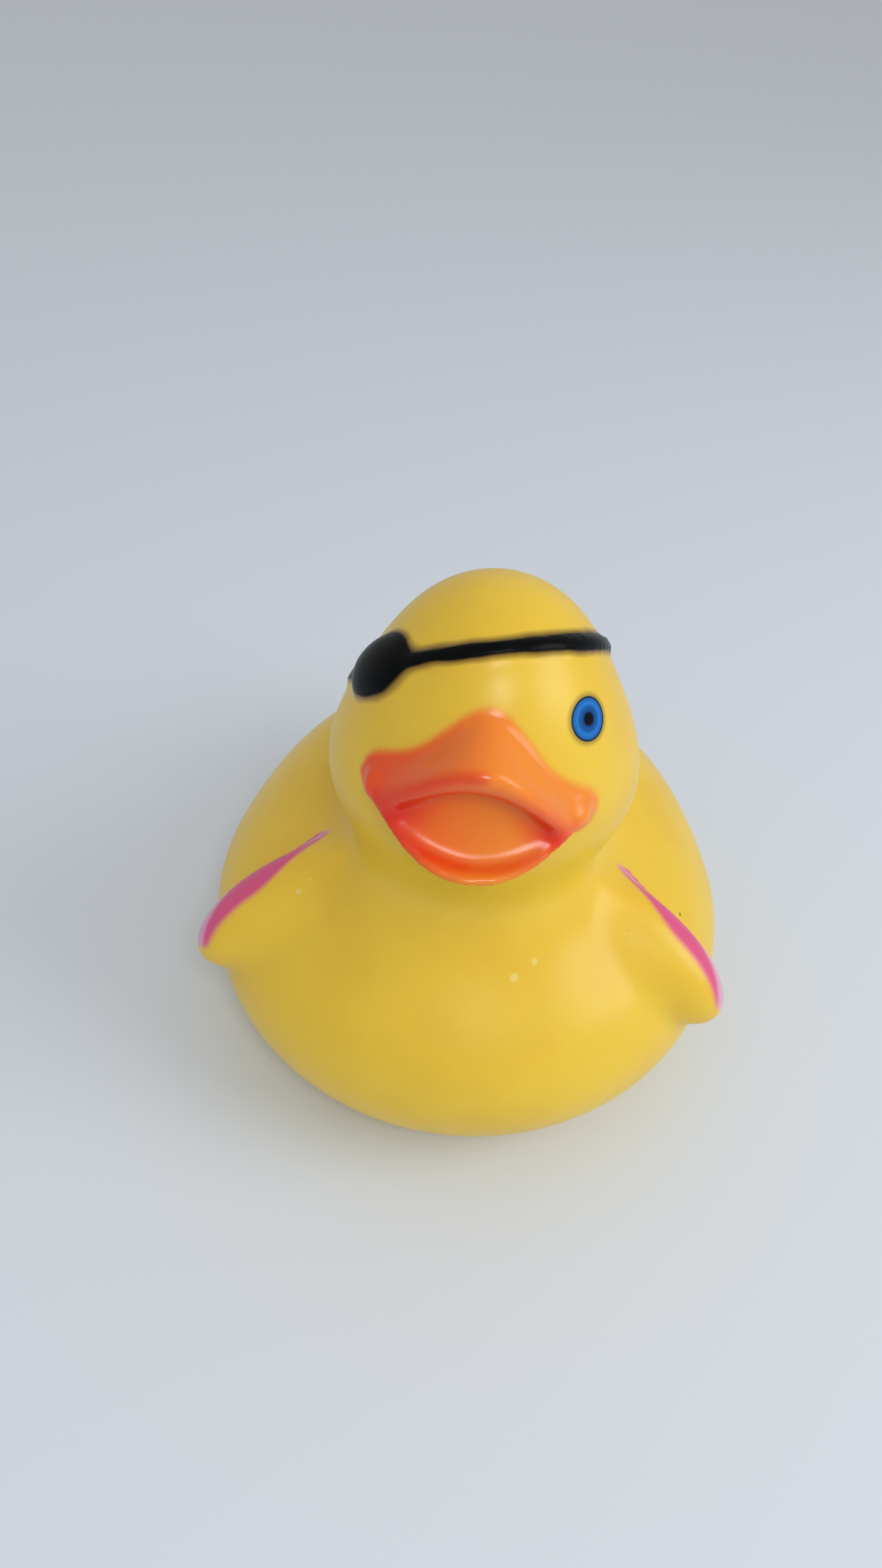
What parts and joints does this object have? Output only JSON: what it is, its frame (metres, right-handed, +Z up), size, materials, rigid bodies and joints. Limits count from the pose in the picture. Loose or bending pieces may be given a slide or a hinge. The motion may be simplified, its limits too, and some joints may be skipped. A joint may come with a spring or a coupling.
{
  "type": "rubber duck",
  "caption": "Small hollow bath duck with an upturned tail, flared wings, an open bill and a raised eye patch, with a squeaker plug in its flat base.",
  "frame": {"origin": "middle of the outline seen from above, on the plane that the base stands on", "axes": "+Z up, -Y the way the duck faces, +X towards its left wing"},
  "size_m": [0.05, 0.0602, 0.0507],
  "materials": {
    "vinyl": "satin",
    "plug": "satin"
  },
  "bodies": {
    "root": {"duck_body": "vinyl", "squeaker": "plug"}
  },
  "joints": []
}
